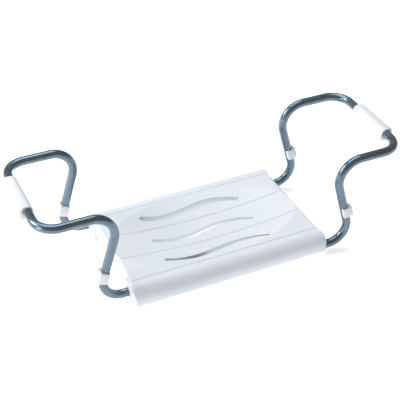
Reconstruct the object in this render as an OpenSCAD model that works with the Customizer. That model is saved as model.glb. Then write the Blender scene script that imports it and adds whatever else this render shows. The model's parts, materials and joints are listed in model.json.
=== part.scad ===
// Width-adjustable hanging bath seat: a moulded seat carried by two sliding hanger frames.
// X runs across the tub, Y from the front roll to the rear roll, Z is up, the underside is Z = 0.

/* [Seat] */
// length of the seat deck across the tub
deck_l = 410; // [390:1:430]
// width over the two rolled edges
seat_w = 284; // [276:1:292]
// height of the flat deck edge above the underside
deck_z = 47; // [45:1:50]
// depth of the dish at the middle of the deck
dish_depth = 15.5; // [8:0.5:18]
// wall thickness of the moulding
wall = 3.2; // [3:0.1:3.2]
// distance of the outer groove pair from the centre line
groove_out = 106.5; // [100:0.5:112]
// distance of the inner groove pair from the centre line
groove_in = 36.5; // [30:0.5:44]
// width of the fine grooves between the planks
groove_w = 1.6; // [1:0.1:3]

/* [Drain slots] */
// distance of the outer slots from the middle slot
slot_pitch = 71; // [64:0.5:76]
// shift of the front, middle and rear slot towards the front
slot_shift = [6, 2.3, 4.3]; // [0:0.1:8]
// rise and fall of the wave of the same slots
wave_rise = [7, 7.3, 6]; // [4:0.1:9]
// left ends of the same slots
slot_left = [-119, -116, -114]; // [-125:1:-100]
// right ends of the same slots
slot_right = [106, 108, 109]; // [95:1:115]
// half widths of the same slots at their left ends
half_left = [5, 5.2, 7]; // [3:0.1:8]
// half widths of the same slots at their right ends
half_right = [2.8, 4.2, 5.6]; // [2.5:0.1:8]
// extra half width of the same slots at their middle
slot_swell = [2.4, 0.6, 3]; // [0:0.1:4]

/* [Hanger frames] */
// outer diameter of the frame tube
tube_d = 18; // [16:0.5:19]
// wall thickness of the frame tube
tube_wall = 1.5; // [1:0.1:2]
// distance between the two legs of one frame
leg_gap = 230; // [220:1:236]
// distance between neighbouring tubes inside a roll
tube_pitch = 29; // [26:0.5:30]
// lower corner of a leg, measured from the seat's centre
foot_x = 270; // [262:1:300]
// crossbar, measured from the seat's centre
bar_x = 367; // [350:1:400]
// height of the crossbar above the tubes in the seat
rise = 192; // [144:24:240]
// inward lean of a leg for each 24 mm of rise
lean_run = 7; // [0:1:10]
// how far each tube reaches past the seat's centre
overlap = 95; // [80:1:110]

/* [Rim pads and wall buffers] */
// length of a rim pad
pad_l = 108; // [90:1:130]
// sideways shift of a rim pad from the middle of its crossbar
pad_shift = 7; // [0:0.5:10]
// length of a wall buffer along the leg
buffer_l = 24; // [18:1:30]
// distance of the left buffers' centres above the lower bend
buffer_left = 5.5; // [5.5:0.5:50]
// distance of the right buffers' centres above the lower bend
buffer_right = 25; // [5.5:0.5:50]

/* [Hidden] */
$fn = 96;
arc_fn = 160;
big = 600;

tube_r = tube_d / 2;
bore_r = tube_r - tube_wall;
run_fit = 0.06;          // radial running clearance of the tubes in the end caps
loose_fit = 0.4;         // radial clearance of the tubes elsewhere
tube_z = 18;             // height of the tube axes in the seat
roll_y = leg_gap / 2;    // middle of the two tubes of a roll
bend_low = 39;           // axis radius of the lower bend
bend_high = 45;          // axis radius of the upper bend
bend_rim = 40;           // axis radius of the bends beside the crossbar

lean = atan(lean_run / 24);
lean_turn = 90 + lean;
low_start = foot_x - bend_low * tan(lean_turn / 2);
leg_x = foot_x - rise * tan(lean);
high_end = leg_x + bend_high * tan(lean_turn / 2);
leg_foot = [low_start + bend_low * sin(lean_turn), tube_z + bend_low * (1 - cos(lean_turn))];
leg_len = rise / cos(lean) - (bend_low + bend_high) * tan(lean_turn / 2);
bar_z = tube_z + rise;

deck_end = deck_l / 2;
end_r = 8;               // rounding of the deck ends
lip_t = 6;               // lip of the deck over the end caps
roll_end = deck_end - 2.5;
cap_end = deck_end + 2.5;
cap_r = 4;

top_r = 27;              // roll, upper outer rounding
low_r = 18;              // roll, lower outer rounding
in_r = 6;                // roll, lower inner rounding
roll_out = seat_w / 2;
roll_in = roll_out - 58;
top_c = [roll_out - top_r, deck_z - top_r];
low_c = [roll_out - low_r, low_r];
cover_t = 4.5;

dish_x = (deck_end * deck_end + dish_depth * dish_depth) / (2 * dish_depth);
dish_y = groove_out * groove_out / (2 * dish_depth);
dish_span = 20;

rib_t = 3;
rib_z = 24;              // underside of the deck ribs
rib_x = [-150, -50, 50, 150];
roll_bays = [[-199, -101.5], [-98.5, -35], [-32, 32], [35, 98.5], [101.5, 199]];
boss_x = [-150, -62, 62, 150];
boss_r = 4.5;
peg_r = 2.5;
peg_z = [8.5, 36];

wave_crest = 42;
wave_trough = -60;
wave_end = 0.0042;       // bend of the wave's ends, as a fall per squared distance
slot_steps = 26;
round_out = 0.04;        // the round ends stand this far proud of the slot's sides

disc_r = 12.5;
disc_z = 0.3;            // underside of the thumb disc
rim_r = 14;              // rim of the disc, held between cover and clamp base
rim_z = 3;
rim_t = 1.3;
bolt_r = 3;
press = 0.05;            // radial interference of pressed joints
clamp_x = 17;
clamp_half = tube_pitch / 2 + 0.5;
nut_z = tube_z + 10.5;
nut_h = 5;
nut_r = 5.77;
bridge_top = nut_z + nut_h + 0.5;

white = [0.93, 0.95, 0.97];
pale = [0.86, 0.89, 0.92];
blue_grey = [0.30, 0.40, 0.47];
steel = [0.62, 0.64, 0.66];
brass = [0.78, 0.64, 0.36];
grey = [0.55, 0.57, 0.60];

// ---------- placing helpers ----------

// runs a profile drawn in (Y, Z) along X
module along_x(x0, x1)
  translate([x0, 0, 0])
    rotate([90, 0, 90])
      linear_extrude(height = x1 - x0) children();

// runs a profile drawn in (X, Z) along Y
module along_y(y0, y1)
  translate([0, y1, 0])
    rotate([90, 0, 0])
      linear_extrude(height = y1 - y0) children();

module rod_x(x0, x1, y, z, r)
  translate([x0, y, z])
    rotate([0, 90, 0])
      cylinder(h = x1 - x0, r = r);

// copies the rear roll's parts onto the front roll
module both_rolls() {
  children();
  mirror([0, 1, 0]) children();
}

// turns the right hand part half round for the left hand side
module left_side() rotate([0, 0, 180]) children();

module at_leg(s, y)
  translate([leg_foot[0], y, leg_foot[1]])
    rotate([0, -lean, 0])
      translate([0, 0, s]) children();

// ---------- seat ----------

// quarter disc with its corner at the origin, turned by a
module quarter(r, a = 0)
  rotate([0, 0, a]) intersection() {
    circle(r = r, $fn = arc_fn);
    square(2 * r);
  }

// outer outline of the rear roll in (Y, Z), drawn in by inset
module roll_2d(inset = 0) {
  translate(top_c) quarter(top_r - inset);
  translate(low_c) quarter(low_r - inset, -90);
  translate([roll_in + in_r, in_r]) quarter(in_r - inset, 180);
  translate([roll_in + inset, in_r])
    square([top_c[0] - roll_in - inset, deck_z - in_r - inset]);
  translate([roll_in + in_r, inset])
    square([low_c[0] - roll_in - in_r, in_r - inset]);
  translate([top_c[0], in_r])
    square([low_c[0] - top_c[0], top_c[1] - in_r]);
  translate([low_c[0], low_c[1]])
    square([roll_out - inset - low_c[0], top_c[1] - low_c[1]]);
}

module above_cover_2d() translate([0, cover_t]) square([big, big]);

module roll_skin() along_x(-roll_end, roll_end) intersection() {
  roll_2d();
  above_cover_2d();
}

module roll_hollow()
  for (bay = roll_bays)
    along_x(bay[0], bay[1]) intersection() {
      roll_2d(wall);
      translate([0, cover_t - 1]) square([big, big]);
    }

// deck with rounded ends, seen from the side in (X, Z), from height low up
module deck_side_2d(low) intersection() {
  union() {
    translate([-deck_end, 0]) square([deck_l, deck_z - end_r]);
    translate([-deck_end + end_r, 0]) square([deck_l - 2 * end_r, deck_z]);
    for (sx = [-1, 1])
      translate([sx * (deck_end - end_r), deck_z - end_r]) circle(r = end_r);
  }
  translate([-deck_end, low]) square([deck_l, deck_z - low]);
}

// everything above the dished surface, lowered by drop
module dish_cutter(drop = 0)
  translate([0, 0, deck_z - dish_depth + dish_x])
    rotate([90, 0, 0])
      rotate([0, 0, -90 - dish_span / 2])
        rotate_extrude(angle = dish_span, $fn = 720)
          translate([dish_x - dish_y, 0])
            intersection() {
              circle(r = dish_y + drop, $fn = 720);
              translate([dish_y - 60, -150]) square([120, 300]);
            }

// hairline grooves; the inner pair follows the dish
module grooves() {
  for (sy = [-1, 1]) {
    translate([-deck_end - 1, sy * groove_out - groove_w / 2, deck_z - 1])
      cube([deck_l + 2, groove_w, 3]);
    intersection() {
      dish_cutter(1);
      translate([-deck_end - 1, sy * groove_in - groove_w / 2, rib_z])
        cube([deck_l + 2, groove_w, 40]);
    }
  }
}

// centre line of wave slot i: half a cosine between trough and crest, a parabola at either end
function wave(i, x) =
  x > wave_crest ? wave_rise[i] - wave_end * pow(x - wave_crest, 2) :
  x < wave_trough ? -wave_rise[i] + wave_end * pow(x - wave_trough, 2) :
  wave_rise[i] * cos(180 * (wave_crest - x) / (wave_crest - wave_trough));

// half width of slot i at t, from 0 at its left end to 1 at its right end
function slot_w(i, t) =
  half_left[i] + t * (half_right[i] - half_left[i]) + slot_swell[i] * pow(sin(180 * t), 2);
function slot_x(i, t) =
  slot_left[i] + half_left[i] + t * (slot_right[i] - half_right[i] - slot_left[i] - half_left[i]);
function slot_y(i, t) = (i - 1) * slot_pitch - slot_shift[i] + wave(i, slot_x(i, t));

// slot number i, 0 front to 2 rear, made wider by grow
module slot_2d(i, grow = 0) {
  near = [for (k = [0:slot_steps]) let (t = k / slot_steps)
    [slot_x(i, t), slot_y(i, t) - slot_w(i, t) - grow]];
  far = [for (k = [slot_steps:-1:0]) let (t = k / slot_steps)
    [slot_x(i, t), slot_y(i, t) + slot_w(i, t) + grow]];
  polygon(concat(near, far));
  for (t = [0, 1])
    translate([slot_x(i, t), slot_y(i, t)]) circle(r = slot_w(i, t) + grow + round_out, $fn = 32);
}

module slot_holes()
  for (i = [0:2])
    translate([0, 0, rib_z - 10]) linear_extrude(height = 60) slot_2d(i);

module slot_walls()
  for (i = [0:2])
    translate([0, 0, rib_z - (i == 1 ? 0 : 3)])
      linear_extrude(height = deck_z - rib_z - 5) slot_2d(i, 2.6);

// ribs under the deck, running both ways
module deck_ribs() {
  for (y = [-groove_in, groove_in])
    translate([-deck_end + wall, y - rib_t / 2, rib_z]) cube([deck_l - 2 * wall, rib_t, deck_z - rib_z - 5]);
  for (x = rib_x)
    translate([x - rib_t / 2, -roll_in - 1, rib_z]) cube([rib_t, 2 * roll_in + 2, deck_z - rib_z - 5]);
}

// hollow under the deck, between the end skirts
module deck_hollow() difference() {
  translate([-deck_end + wall, -roll_in, rib_z - 30])
    cube([deck_l - 2 * wall, 2 * roll_in, deck_z - wall - rib_z + 30]);
  dish_cutter(wall + 1);
  deck_ribs();
  slot_walls();
}

module deck_block() difference() {
  union() {
    along_y(-roll_in, roll_in) deck_side_2d(rib_z);
    along_y(-top_c[0], top_c[0]) deck_side_2d(deck_z - lip_t);
  }
  deck_hollow();
}

module tube_channels(r)
  for (dy = [-1, 1])
    rod_x(-roll_end - 1, roll_end + 1, roll_y + dy * tube_pitch / 2, tube_z, r);

module roll_body() difference() {
  union() {
    difference() {
      roll_skin();
      roll_hollow();
    }
    for (x = boss_x)
      translate([x, roll_y, cover_t]) cylinder(h = deck_z - cover_t - 2, r = boss_r);
  }
  tube_channels(tube_r + loose_fit);
  for (x = boss_x)
    translate([x, roll_y, cover_t - 1]) cylinder(h = 15, r = 1.7);
  for (sx = [-1, 1])
    for (z = peg_z)
      rod_x(sx > 0 ? roll_end - 8 : -roll_end - 1, sx > 0 ? roll_end + 1 : -roll_end + 8, roll_y, z, peg_r);
}

module seat_shell() color(white) difference() {
  union() {
    both_rolls() roll_body();
    deck_block();
  }
  dish_cutter();
  grooves();
  slot_holes();
}

// lid under a roll; the step in its middle hole holds the thumb disc in
module cover() color(pale) difference() {
  along_x(-roll_end, roll_end) difference() {
    roll_2d();
    above_cover_2d();
  }
  translate([0, roll_y, -1]) cylinder(h = cover_t + 2, r = disc_r + 0.4);
  translate([0, roll_y, rim_z - 0.2]) cylinder(h = cover_t, r = rim_r + 0.4);
  for (x = boss_x)
    translate([x, roll_y, -1]) {
      cylinder(h = cover_t + 2, r = 2.2);
      cylinder(h = 3.4, r = 4);
    }
}

// closes the right end of the rear roll; the tube leaves at dy from the middle of the roll
module end_cap(dy) color(white) difference() {
  union() {
    intersection() {
      along_x(roll_end, cap_end) difference() {
        roll_2d(0.6);
        translate([0, deck_z - lip_t - 0.3]) square([top_c[0] + 0.3, 20]);
      }
      along_y(0, seat_w) {
        translate([roll_end - 1, -1]) square([cap_end - roll_end + 1 - cap_r, deck_z + 1]);
        translate([roll_end - 1, cap_r + 0.6]) square([cap_end - roll_end + 1, deck_z - 1.2 - 2 * cap_r]);
        for (z = [cap_r + 0.6, deck_z - 0.6 - cap_r])
          translate([cap_end - cap_r, z]) circle(r = cap_r);
      }
      linear_extrude(height = deck_z) {
        translate([roll_end - 1, 0]) square([cap_end - roll_end + 1, roll_out - 0.6 - cap_r]);
        translate([roll_end - 1, 0]) square([cap_end - roll_end + 1 - cap_r, roll_out]);
        translate([cap_end - cap_r, roll_out - 0.6 - cap_r]) circle(r = cap_r);
      }
    }
    for (z = peg_z)
      rod_x(roll_end - 7, roll_end + 1, roll_y, z, peg_r);
  }
  rod_x(roll_end - 10, cap_end + 1, roll_y + dy, tube_z, tube_r + run_fit);
}

// ---------- hanger frames ----------

module tube_2d() difference() {
  circle(r = tube_r);
  circle(r = bore_r);
}

// straight piece of tube along +X
module pipe(x0, x1, y, z)
  translate([x0, y, z])
    rotate([0, 90, 0])
      linear_extrude(height = x1 - x0) tube_2d();

// bent piece of tube: starts along +X at the origin and turns up by angle
module bend(radius, angle)
  translate([0, 0, radius])
    rotate([90, 0, 0])
      rotate([0, 0, -90])
        rotate_extrude(angle = angle)
          translate([radius, 0]) tube_2d();

// straight leg with the quarter bends at its two ends; the arcs of frame_side overlap these
module leg(y) {
  at_leg(0, y) {
    linear_extrude(height = leg_len) tube_2d();
    rotate([0, 90, 180]) bend(bend_low, 90);
    translate([0, 0, leg_len]) rotate([0, -90, 180]) bend(bend_high, 90);
  }
}

// one leg of the right frame with its arm, on the rear side
module frame_side() {
  y = leg_gap / 2;
  pipe(-overlap, low_start, y, tube_z);
  translate([low_start, y, tube_z]) bend(bend_low, 60);
  leg(y);
  translate([high_end, y, bar_z]) rotate([0, 180, 0]) bend(bend_high, 60);
  pipe(high_end, bar_x - bend_rim, y, bar_z);
  translate([bar_x - bend_rim, y, bar_z]) rotate([90, 0, 0]) bend(bend_rim, 90);
}

module right_frame() color(blue_grey)
  translate([0, -tube_pitch / 2, 0]) {
    both_rolls() frame_side();
    translate([bar_x, 0, bar_z])
      along_y(bend_rim - leg_gap / 2, leg_gap / 2 - bend_rim) tube_2d();
  }

// plug pressed into the inner end of a tube
module tube_plug(y) color(grey) {
  rod_x(-overlap, -overlap + 12, y - tube_pitch / 2, tube_z, bore_r + press);
  rod_x(-overlap - 2.5, -overlap, y - tube_pitch / 2, tube_z, tube_r - 0.2);
}

// ---------- rim pads and wall buffers ----------

pad_in = 11.5;           // pad, from the tube axis towards the seat
pad_out = 15;            // pad, from the tube axis towards the tub's outside
pad_down = 15;
pad_up = 11.5;
pad_corner = 5;

// section of the pad in (X, Z) about the tube axis, outside towards +X
module pad_2d() {
  translate([-pad_in + pad_corner, -pad_down]) square([pad_in + pad_out - 2 * pad_corner, pad_down]);
  translate([-pad_in, -pad_down + pad_corner]) square([pad_in + pad_out, pad_down - pad_corner]);
  for (x = [-pad_in + pad_corner, pad_out - pad_corner])
    translate([x, -pad_down + pad_corner]) circle(r = pad_corner);
  intersection() {
    circle(r = pad_in);
    translate([-pad_in, 0]) square([pad_in, pad_up]);
  }
  square([pad_out - pad_corner - 4, pad_up]);
  square([pad_out, pad_up - pad_corner - 4]);
  translate([pad_out - pad_corner - 4, pad_up - pad_corner - 4]) circle(r = pad_corner + 4);
}

module right_rim_pad() color(white)
  translate([bar_x, -tube_pitch / 2 - pad_shift, bar_z])
    difference() {
      along_y(-pad_l / 2, pad_l / 2) pad_2d();
      rotate([90, 0, 0]) cylinder(h = pad_l + 2, r = tube_r + press, center = true);
    }

buffer_w = 21;
buffer_d = 24;
buffer_shift = 3;        // towards the tub wall
buffer_r = 3;

// block on a leg of the right frame; its lower end is relieved for the bend
module wall_buffer(s, y) color(white)
  at_leg(s, y) difference() {
    translate([buffer_shift, 0, 0]) {
      for (d = [[0, buffer_r], [buffer_r, 0]])
        translate([-buffer_w / 2 + d[0], -buffer_d / 2 + d[1], -buffer_l / 2])
          cube([buffer_w - 2 * d[0], buffer_d - 2 * d[1], buffer_l]);
      for (sx = [-1, 1])
        for (sy = [-1, 1])
          translate([sx * (buffer_w / 2 - buffer_r), sy * (buffer_d / 2 - buffer_r), -buffer_l / 2])
            cylinder(h = buffer_l, r = buffer_r);
    }
    translate([0, 0, -buffer_l]) cylinder(h = 2 * buffer_l, r = tube_r + run_fit);
    translate([-1.2, 0, -buffer_l]) cylinder(h = buffer_l - 4, r = tube_r + run_fit);
  }

// ---------- clamp inside each roll (drawn for the rear roll) ----------

// flush disc with a grip bar between two finger hollows, turned by hand from below
module thumb_disc() color(grey)
  translate([0, roll_y, 0]) difference() {
    union() {
      translate([0, 0, disc_z]) cylinder(h = rim_z + rim_t - disc_z, r = disc_r);
      translate([0, 0, rim_z]) cylinder(h = rim_t, r = rim_r);
    }
    for (sy = [-1, 1])
      translate([0, sy * 7, -1]) cylinder(h = 3.6, r = 4.2);
    translate([0, 0, -1]) cylinder(h = 10, r = bolt_r - press);
  }

module clamp_bolt() color(steel)
  translate([0, roll_y, 1.2]) cylinder(h = bridge_top, r = bolt_r);

module clamp_nut() color(brass)
  translate([0, roll_y, nut_z]) difference() {
    cylinder(h = nut_h, r = nut_r, $fn = 6);
    translate([0, 0, -1]) cylinder(h = nut_h + 2, r = bolt_r + run_fit);
  }

// wedge block that bears on both tubes of a roll, from height z0 to z1
module clamp_block(z0, z1) difference() {
  translate([-clamp_x, roll_y - clamp_half, z0]) cube([2 * clamp_x, 2 * clamp_half, z1 - z0]);
  tube_channels(tube_r + run_fit);
  translate([0, roll_y, z0 - 1]) cylinder(h = z1 - z0 + 2, r = bolt_r + loose_fit);
}

module clamp_bridge() color(grey) difference() {
  clamp_block(tube_z + 1.5, bridge_top);
  translate([0, roll_y, nut_z]) cylinder(h = nut_h + 1, r = nut_r + 0.1, $fn = 6);
}

module clamp_base() color(grey) clamp_block(cover_t, tube_z - 1.5);

// ---------- cover screws ----------

module cover_screw() difference() {
  union() {
    cylinder(h = 2.2, r = 3.5);
    cylinder(h = 15, r = 1.9);
  }
  for (a = [0, 90])
    rotate([0, 0, a]) translate([-2, -0.45, -1]) cube([4, 0.9, 2.2]);
}

module cover_screws() color(steel)
  for (x = boss_x)
    translate([x, roll_y, 0.2]) cover_screw();

// ---------- named pieces ----------

module front_of() mirror([0, 1, 0]) children();

seat_shell();
front_of() cover();  // front_cover
cover();  // rear_cover
left_side() end_cap(-tube_pitch / 2);  // left_front_cap
left_side() front_of() end_cap(tube_pitch / 2);  // left_rear_cap
front_of() end_cap(tube_pitch / 2);  // right_front_cap
end_cap(-tube_pitch / 2);  // right_rear_cap
left_side() right_frame();  // left_frame
right_frame();
left_side() tube_plug(roll_y);  // left_front_plug
left_side() tube_plug(-roll_y);  // left_rear_plug
tube_plug(-roll_y);  // right_front_plug
tube_plug(roll_y);  // right_rear_plug
left_side() right_rim_pad();  // left_rim_pad
right_rim_pad();
left_side() wall_buffer(buffer_left, roll_y - tube_pitch / 2);  // left_front_buffer
left_side() wall_buffer(buffer_left, -roll_y - tube_pitch / 2);  // left_rear_buffer
wall_buffer(buffer_right, -roll_y - tube_pitch / 2);  // right_front_buffer
wall_buffer(buffer_right, roll_y - tube_pitch / 2);  // right_rear_buffer
front_of() thumb_disc();  // front_thumb_disc
thumb_disc();  // rear_thumb_disc
front_of() clamp_bolt();  // front_clamp_bolt
clamp_bolt();  // rear_clamp_bolt
front_of() clamp_nut();  // front_clamp_nut
clamp_nut();  // rear_clamp_nut
front_of() clamp_bridge();  // front_clamp_bridge
clamp_bridge();  // rear_clamp_bridge
front_of() clamp_base();  // front_clamp_base
clamp_base();  // rear_clamp_base
front_of() cover_screws();  // front_cover_screws
cover_screws();  // rear_cover_screws
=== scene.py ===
"""A hanging bath seat: white moulded seat on two bent, blue-grey coated hanger frames."""

import json
import math

import bmesh
import bpy
from mathutils import Matrix, Vector


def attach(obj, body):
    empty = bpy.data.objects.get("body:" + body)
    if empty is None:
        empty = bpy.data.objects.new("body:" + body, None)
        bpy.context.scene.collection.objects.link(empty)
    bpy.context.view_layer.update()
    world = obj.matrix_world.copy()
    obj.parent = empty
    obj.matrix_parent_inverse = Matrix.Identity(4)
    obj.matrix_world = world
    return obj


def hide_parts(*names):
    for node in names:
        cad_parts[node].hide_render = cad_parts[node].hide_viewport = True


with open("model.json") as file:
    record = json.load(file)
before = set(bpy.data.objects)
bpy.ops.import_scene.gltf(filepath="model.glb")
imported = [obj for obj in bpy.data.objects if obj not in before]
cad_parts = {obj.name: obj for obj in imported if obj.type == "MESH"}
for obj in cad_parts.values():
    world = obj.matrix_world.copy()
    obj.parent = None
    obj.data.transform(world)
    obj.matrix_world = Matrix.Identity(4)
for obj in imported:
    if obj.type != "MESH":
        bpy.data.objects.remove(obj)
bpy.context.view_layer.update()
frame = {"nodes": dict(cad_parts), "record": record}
nodes = frame["nodes"]

# ---------- camera: the photograph's viewpoint, in metres ----------

EYE = Vector((-0.7003, -1.4555, 1.2894))
AIM = Vector((0.0094, 0.0415, 0.0747))
ROLL = math.radians(0.7)
LENS = 89.94
SENSOR = 36
NEAR, FAR = 0.05, 30


def add_camera():
    data = bpy.data.cameras.new("camera")
    data.lens = LENS
    data.sensor_width = SENSOR
    data.clip_start = NEAR
    data.clip_end = FAR
    cam = bpy.data.objects.new("camera", data)
    bpy.context.scene.collection.objects.link(cam)
    cam.rotation_mode = "QUATERNION"
    turn = (AIM - EYE).to_track_quat("-Z", "Y").to_matrix().to_4x4()
    cam.matrix_world = Matrix.Translation(EYE) @ turn @ Matrix.Rotation(ROLL, 4, "Z")
    bpy.context.scene.camera = cam


# ---------- material helpers ----------


class Shader:
    """A node tree with short calls to add and join its nodes."""

    def __init__(self, name):
        self.mat = bpy.data.materials.new(name)
        self.mat.use_nodes = True
        self.tree = self.mat.node_tree
        self.bsdf = self.tree.nodes["Principled BSDF"]

    def add(self, kind, **values):
        node = self.tree.nodes.new(kind)
        for key, value in values.items():
            setattr(node, key, value)
        return node

    def join(self, a, b):
        self.tree.links.new(a, b)

    def coords(self, scale=(1, 1, 1)):
        mapping = self.add("ShaderNodeMapping")
        mapping.inputs["Scale"].default_value = scale
        self.join(self.add("ShaderNodeTexCoord").outputs["Object"], mapping.inputs["Vector"])
        return mapping.outputs["Vector"]

    def noise(self, size, detail=3.0, stretch=(1, 1, 1)):
        """Noise whose grain is about size metres across."""
        node = self.add("ShaderNodeTexNoise")
        node.inputs["Scale"].default_value = 1.0 / size
        node.inputs["Detail"].default_value = detail
        self.join(self.coords(stretch), node.inputs["Vector"])
        return node.outputs["Fac"]

    def ramp(self, source, stops):
        node = self.add("ShaderNodeValToRGB")
        ramp = node.color_ramp
        while len(ramp.elements) < len(stops):
            ramp.elements.new(0.5)
        for element, (place, colour) in zip(ramp.elements, stops):
            element.position = place
            element.color = (*colour, 1.0)
        self.join(source, node.inputs["Fac"])
        return node.outputs["Color"]

    def spread(self, source, low, high):
        """source, from 0 to 1, carried over to low to high."""
        node = self.add("ShaderNodeMapRange")
        node.inputs["To Min"].default_value = low
        node.inputs["To Max"].default_value = high
        self.join(source, node.inputs["Value"])
        return node.outputs["Result"]

    def bump(self, height, depth, before=None):
        """Bump of depth metres from a height of 0 to 1."""
        node = self.add("ShaderNodeBump")
        node.inputs["Strength"].default_value = 1.0
        node.inputs["Distance"].default_value = depth
        self.join(height, node.inputs["Height"])
        if before is not None:
            self.join(before, node.inputs["Normal"])
        return node.outputs["Normal"]

    def set(self, **values):
        """Constant values of the surface, by the short names below."""
        names = {"coat": "Coat Weight", "coat_rough": "Coat Roughness", "metal": "Metallic",
                 "specular": "Specular IOR Level", "subsurface": "Subsurface Weight",
                 "sub_scale": "Subsurface Scale"}
        for key, value in values.items():
            self.bsdf.inputs[names[key]].default_value = value


def moulded_plastic(name, light, dark, rough, grain):
    """Injection-moulded plastic: a fine tool grain over slow flow marks, slightly translucent."""
    s = Shader(name)
    flow = s.noise(size=0.09, detail=2.0, stretch=(1, 0.45, 1))
    fine = s.noise(size=0.0011, detail=2.0)
    s.join(s.ramp(flow, [(0.3, dark), (0.7, light)]), s.bsdf.inputs["Base Color"])
    s.join(s.spread(fine, rough - 0.06, rough + 0.06), s.bsdf.inputs["Roughness"])
    slow = s.bump(flow, depth=0.00025)
    s.join(s.bump(fine, depth=grain, before=slow), s.bsdf.inputs["Normal"])
    s.set(specular=0.42, subsurface=0.06, sub_scale=0.004)
    return s.mat


def coated_tube(name, light, dark):
    """Glossy metallic coat over bent tube: fine flakes, orange peel and a clear top layer."""
    s = Shader(name)
    flakes = s.noise(size=0.0006, detail=2.0)
    cloud = s.noise(size=0.03, detail=3.0)
    peel = s.noise(size=0.0035, detail=1.0)
    base = s.add("ShaderNodeMix", data_type="RGBA")
    base.inputs["Factor"].default_value = 0.35
    s.join(s.ramp(cloud, [(0.3, dark), (0.7, light)]), base.inputs["A"])
    s.join(s.ramp(flakes, [(0.35, dark), (0.75, light)]), base.inputs["B"])
    s.join(base.outputs["Result"], s.bsdf.inputs["Base Color"])
    s.join(s.spread(flakes, low=0.20, high=0.34), s.bsdf.inputs["Roughness"])
    s.join(s.bump(peel, depth=0.00004), s.bsdf.inputs["Normal"])
    s.set(metal=0.75, coat=0.8, coat_rough=0.06)
    return s.mat


def bare_metal(name, light, dark, rough, stretch):
    """Metal with fine tool marks along one way."""
    s = Shader(name)
    marks = s.noise(size=0.0008, detail=3.0, stretch=stretch)
    s.join(s.ramp(marks, [(0.3, dark), (0.7, light)]), s.bsdf.inputs["Base Color"])
    s.join(s.spread(marks, rough - 0.08, rough + 0.1), s.bsdf.inputs["Roughness"])
    s.join(s.bump(marks, depth=0.00002), s.bsdf.inputs["Normal"])
    s.set(metal=1.0)
    return s.mat


SEAT = moulded_plastic(
    "seat_plastic", light=(0.86, 0.90, 0.955), dark=(0.83, 0.875, 0.935), rough=0.42, grain=0.00002)
COVER = moulded_plastic(
    "cover_plastic", light=(0.80, 0.83, 0.87), dark=(0.76, 0.79, 0.83), rough=0.52, grain=0.00003)
PAD = moulded_plastic(
    "pad_plastic", light=(0.87, 0.89, 0.92), dark=(0.83, 0.855, 0.885), rough=0.55, grain=0.00003)
TUBE = coated_tube("coated_tube", light=(0.155, 0.225, 0.285), dark=(0.085, 0.135, 0.18))
CLAMP = moulded_plastic(
    "clamp_plastic", light=(0.34, 0.36, 0.40), dark=(0.28, 0.30, 0.34), rough=0.55, grain=0.00004)
PLUG = moulded_plastic(
    "plug_plastic", light=(0.07, 0.075, 0.08), dark=(0.05, 0.053, 0.058), rough=0.6, grain=0.00004)
STEEL = bare_metal(
    "bright_steel", light=(0.66, 0.67, 0.69), dark=(0.50, 0.51, 0.53), rough=0.28, stretch=(1, 1, 0.1))
BRASS = bare_metal(
    "brass", light=(0.80, 0.62, 0.30), dark=(0.66, 0.48, 0.22), rough=0.3, stretch=(1, 1, 0.2))

LOOKS = {"seat_white": SEAT, "cover_white": COVER, "pad_white": PAD, "frame_blue_grey": TUBE,
         "clamp_grey": CLAMP, "plug_grey": PLUG, "bright_steel": STEEL, "nut_brass": BRASS}

for part in frame["record"]["subparts"]:
    node = nodes[part["node"]]
    for slot in node.material_slots:
        slot.material = LOOKS[part["material_slot"]]

# ---------- mesh helpers ----------

# sizes of the CAD part, in metres
TUBE_R, BORE_R, TUBE_Z = 0.009, 0.0075, 0.018
LEG_GAP, TUBE_PITCH, OVERLAP = 0.230, 0.029, 0.095
FOOT_X, BAR_X, RISE = 0.270, 0.367, 0.192
BEND_LOW, BEND_HIGH, BEND_RIM = 0.039, 0.045, 0.040
LEAN_RUN, LEAN_RISE = 7, 24
LEAN = math.atan(LEAN_RUN / LEAN_RISE)
LEAN_TURN = math.pi / 2 + LEAN
LOW_X = FOOT_X - BEND_LOW * math.tan(LEAN_TURN / 2)
BAR_Z = TUBE_Z + RISE

# sleeves on the tubes: each box is left, right, low and high of the tube's axis
PAD_BOX = (-0.0115, 0.015, -0.015, 0.0115)
PAD_RADII = (0.005, 0.005, 0.009, 0.0115)
PAD_L, PAD_SHIFT, PAD_EDGE = 0.108, 0.007, 0.0022
BUFFER_BOX = (-0.0075, 0.0135, -0.012, 0.012)
BUFFER_RADII = (0.003,) * 4
BUFFER_L, BUFFER_EDGE = 0.024, 0.0016
BUFFER_UP = {"left": 0.0055, "right": 0.025}
SLEEVE_PLAY = 0.0001
MOUTH_BEVEL, MOUTH_DEPTH = 0.0006, 0.004
LEAST_RADIUS = 0.0004

# fineness of the meshes
ROUND = 48
BEND_STEPS, RIM_STEPS, CORNER_STEPS, EDGE_STEPS = 26, 22, 10, 5
BORE_SHOWN = 0.012
SHARP = math.radians(35)

# rounding of the end caps' edges
CAP_EDGE, CAP_SEGMENTS = 0.0008, 3
CAP_SHARP = math.radians(40)
WELD = 2e-6
FLAT = math.radians(0.4)


def add_piece(name, bm, material, body, replaced):
    """Turns bm into a smooth-shaded piece that rides on body and stands for a CAD node."""
    bmesh.ops.recalc_face_normals(bm, faces=bm.faces)
    mesh = bpy.data.meshes.new(name)
    bm.to_mesh(mesh)
    bm.free()
    mesh.shade_smooth()
    mesh.set_sharp_from_angle(angle=SHARP)
    mesh.materials.append(material)
    piece = bpy.data.objects.new(name, mesh)
    bpy.context.scene.collection.objects.link(piece)
    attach(piece, body)
    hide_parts(replaced)
    return piece


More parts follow.
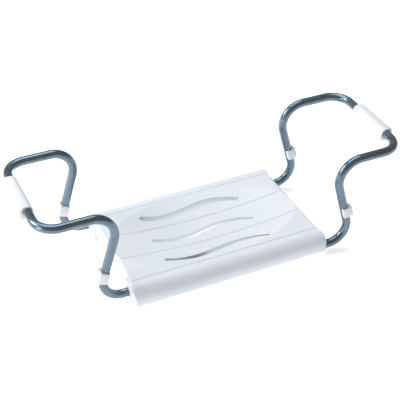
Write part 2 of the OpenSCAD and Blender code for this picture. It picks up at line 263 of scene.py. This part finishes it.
def join_rings(bm, rings):
    """Faces between neighbouring closed rings of the same number of points."""
    for near, far in zip(rings, rings[1:]):
        count = len(near)
        for i in range(count):
            j = (i + 1) % count
            bm.faces.new((near[i], near[j], far[j], far[i]))


def arc(centre, start, end, turn, steps):
    """Points on a bend from start, about centre, ending at end, through turn radians."""
    a = start - centre
    b = (end - centre) - a * math.cos(turn)
    b = b.normalized() * a.length
    angles = [turn * k / steps for k in range(steps + 1)]
    return [centre + a * math.cos(t) + b * math.sin(t) for t in angles]


def leg_foot(y):
    """Where the lower bend of the leg at y ends and the straight leg starts."""
    rise = BEND_LOW * (1 - math.cos(LEAN_TURN))
    return Vector((LOW_X + BEND_LOW * math.sin(LEAN_TURN), y, TUBE_Z + rise))


def leg_path():
    """Centre line of one leg with its arm, from the inner tube end to the middle of the crossbar."""
    y = LEG_GAP / 2
    top_x = FOOT_X - RISE * math.tan(LEAN) + BEND_HIGH * math.tan(LEAN_TURN / 2)
    fall = BEND_HIGH * (1 - math.cos(LEAN_TURN))
    head = Vector((top_x - BEND_HIGH * math.sin(LEAN_TURN), y, BAR_Z - fall))
    low = Vector((LOW_X, y, TUBE_Z))
    top = Vector((top_x, y, BAR_Z))
    corner = Vector((BAR_X - BEND_RIM, y, BAR_Z))
    path = [Vector((-OVERLAP, y, TUBE_Z))]
    path += arc(low + Vector((0, 0, BEND_LOW)), low, leg_foot(y), LEAN_TURN, BEND_STEPS)
    path += arc(top - Vector((0, 0, BEND_HIGH)), head, top, LEAN_TURN, BEND_STEPS)
    path += arc(corner - Vector((0, BEND_RIM, 0)), corner, corner + Vector((BEND_RIM, -BEND_RIM, 0)),
                math.pi / 2, RIM_STEPS)
    return path


def frame_path(side):
    """Centre line of a whole hanger frame; side is 1 for the right frame and -1 for the left."""
    rear = leg_path()
    path = rear + [Vector((p.x, -p.y, p.z)) for p in reversed(rear)]
    return [Vector((side * p.x, side * (p.y - TUBE_PITCH / 2), p.z)) for p in path]


def tube_rings(bm, path, radius):
    """Circles of radius across path, turned as little as possible from each to the next."""
    rings = []
    across = Vector((0, 0, 1))
    for k, point in enumerate(path):
        along = (path[min(k + 1, len(path) - 1)] - path[max(k - 1, 0)]).normalized()
        across = (across - along * across.dot(along)).normalized()
        side = along.cross(across)
        ring = []
        for i in range(ROUND):
            t = 2 * math.pi * i / ROUND
            ring.append(bm.verts.new(point + (across * math.cos(t) + side * math.sin(t)) * radius))
        rings.append(ring)
    return rings


def hanger_frame(name, side):
    """One bent tube, with its bore open for a little way at both ends."""
    bm = bmesh.new()
    path = frame_path(side)
    outer = tube_rings(bm, path, TUBE_R)
    depth = Vector((side * BORE_SHOWN, 0, 0))
    for end, ring in ((path[0], outer[0]), (path[-1], outer[-1])):
        bore = []
        for shift in (Vector(), depth):
            bore.append([bm.verts.new(end + shift + (v.co - end) * (BORE_R / TUBE_R)) for v in ring])
        join_rings(bm, [ring] + bore)
    join_rings(bm, outer)
    add_piece(name + "_tube", bm, TUBE, name.split("_")[0] + "_hanger", name)


def rounded_outline(box, radii, inset):
    """Outline of a box (left, right, low, high) with its own radius at each corner, drawn in by inset."""
    left, right, low, high = box
    corners = ((left, low, 180), (right, low, 270), (right, high, 0), (left, high, 90))
    points = []
    for (x, z, start), radius in zip(corners, radii):
        r = max(radius - inset, LEAST_RADIUS)
        reach = inset + r
        cx = x + reach if x == left else x - reach
        cz = z + reach if z == low else z - reach
        for k in range(CORNER_STEPS + 1):
            t = math.radians(start + 90 * k / CORNER_STEPS)
            points.append((cx + r * math.cos(t), cz + r * math.sin(t)))
    return points


def sleeve(bm, box, radii, length, edge, place):
    """Block with rounded ends round a tube: place turns (x, z, distance along) into a point."""
    quarter = [math.pi / 2 * k / EDGE_STEPS for k in range(EDGE_STEPS + 1)]
    stations = [(edge * (1 - math.sin(t)), edge * (1 - math.cos(t)) - length / 2) for t in quarter]
    stations += [(inset, -along) for inset, along in reversed(stations)]
    rings = []
    for inset, along in stations:
        rings.append([bm.verts.new(place(x, z, along)) for x, z in rounded_outline(box, radii, inset)])
    join_rings(bm, rings)
    bore = TUBE_R + SLEEVE_PLAY
    mouth = ((bore + MOUTH_BEVEL, 0.0), (bore, MOUTH_BEVEL), (bore, MOUTH_DEPTH))
    for ring, along in ((rings[0], -length / 2), (rings[-1], length / 2)):
        flat = rounded_outline(box, radii, edge)
        holes = []
        for radius, depth in mouth:
            hole = []
            for x, z in flat:
                scale = radius / math.hypot(x, z)
                inward = along - math.copysign(depth, along)
                hole.append(bm.verts.new(place(x * scale, z * scale, inward)))
            holes.append(hole)
        join_rings(bm, [ring] + holes)


def rim_pad(name, side):
    """White sleeve on a crossbar: round above, flat below where it lies on the rim."""
    centre = Vector((BAR_X, -TUBE_PITCH / 2 - PAD_SHIFT, BAR_Z))
    bm = bmesh.new()

    def place(x, z, along):
        p = centre + Vector((x, along, z))
        return Vector((side * p.x, side * p.y, p.z))

    sleeve(bm, PAD_BOX, PAD_RADII, PAD_L, PAD_EDGE, place)
    add_piece(name + "_sleeve", bm, PAD, name.split("_")[0] + "_hanger", name)


def wall_buffer(name, side, end, up):
    """Rounded block on a leg; up is how far it sits above the lower bend."""
    foot = leg_foot(side * end * LEG_GAP / 2 - TUBE_PITCH / 2)
    along_leg = Vector((-math.sin(LEAN), 0, math.cos(LEAN)))
    outwards = Vector((math.cos(LEAN), 0, math.sin(LEAN)))
    bm = bmesh.new()

    def place(x, z, along):
        p = foot + outwards * x + Vector((0, z, 0)) + along_leg * (up + along)
        return Vector((side * p.x, side * p.y, p.z))

    sleeve(bm, BUFFER_BOX, BUFFER_RADII, BUFFER_L, BUFFER_EDGE, place)
    add_piece(name + "_block", bm, PAD, name, name)


def end_cap(node):
    """A copy of a CAD end cap with its sharp edges rounded, as moulding leaves them."""
    bm = bmesh.new()
    bm.from_mesh(nodes[node].data)
    bmesh.ops.remove_doubles(bm, verts=bm.verts, dist=WELD)
    bmesh.ops.dissolve_limit(bm, angle_limit=FLAT, verts=bm.verts, edges=bm.edges)
    slot = next(p["material_slot"] for p in frame["record"]["subparts"] if p["node"] == node)
    piece = add_piece(node + "_soft", bm, LOOKS[slot], "seat", node)
    bevel = piece.modifiers.new("edge", "BEVEL")
    bevel.width = CAP_EDGE
    bevel.segments = CAP_SEGMENTS
    bevel.limit_method = "ANGLE"
    bevel.angle_limit = CAP_SHARP
    bevel.use_clamp_overlap = True
    bevel.harden_normals = True


for side, word in ((-1, "left"), (1, "right")):
    hanger_frame(word + "_frame", side)
    rim_pad(word + "_rim_pad", side)
    for end, roll in ((-1, "front"), (1, "rear")):
        wall_buffer(f"{word}_{roll}_buffer", side, end, BUFFER_UP[word])
        end_cap(f"{word}_{roll}_cap")

# ---------- floor, light ----------

FLOOR_HALF = 6
FLOOR_DROP = 0.0005
FLOOR_GLOW = 0.55
WORLD_STRENGTH = 0.26
DECK_AIM = (0, 0, 0.05)


def add_floor():
    """Pale paper that glows a little, so that shadows on it stay faint."""
    mesh = bpy.data.meshes.new("floor")
    bm = bmesh.new()
    bmesh.ops.create_grid(bm, x_segments=2, y_segments=2, size=FLOOR_HALF)
    bm.to_mesh(mesh)
    bm.free()
    floor = bpy.data.objects.new("floor", mesh)
    bpy.context.scene.collection.objects.link(floor)
    floor.location.z = -FLOOR_DROP
    s = Shader("floor_paper")
    s.bsdf.inputs["Base Color"].default_value = (0.95, 0.95, 0.95, 1)
    s.bsdf.inputs["Roughness"].default_value = 0.9
    s.bsdf.inputs["Emission Color"].default_value = (1, 1, 1, 1)
    s.bsdf.inputs["Emission Strength"].default_value = FLOOR_GLOW
    mesh.materials.append(s.mat)


def add_area(name, place, aim, size, power, colour=(1, 1, 1)):
    """Rectangular lamp at place, turned towards aim, of power watts."""
    data = bpy.data.lights.new(name, "AREA")
    data.shape = "RECTANGLE"
    data.size, data.size_y = size
    data.energy = power
    data.color = colour
    lamp = bpy.data.objects.new(name, data)
    bpy.context.scene.collection.objects.link(lamp)
    lamp.location = place
    lamp.rotation_euler = (Vector(aim) - Vector(place)).to_track_quat("-Z", "Y").to_euler()


def add_world(strength):
    world = bpy.data.worlds.new("studio")
    world.use_nodes = True
    world.node_tree.nodes["Background"].inputs["Color"].default_value = (1, 1, 1, 1)
    world.node_tree.nodes["Background"].inputs["Strength"].default_value = strength
    bpy.context.scene.world = world


add_camera()
add_floor()
add_world(WORLD_STRENGTH)
add_area("key", place=(-2.4, 1.2, 1.8), aim=DECK_AIM, size=(1.4, 1.4), power=54)
add_area("side", place=(-1.5, -0.25, 0.35), aim=(-0.3, 0, 0.1), size=(0.35, 1.0), power=5)
add_area("top", place=(0.0, 0.9, 2.6), aim=DECK_AIM, size=(2.2, 1.6), power=36,
         colour=(0.96, 0.98, 1.0))
bpy.context.scene.view_settings.view_transform = "Standard"
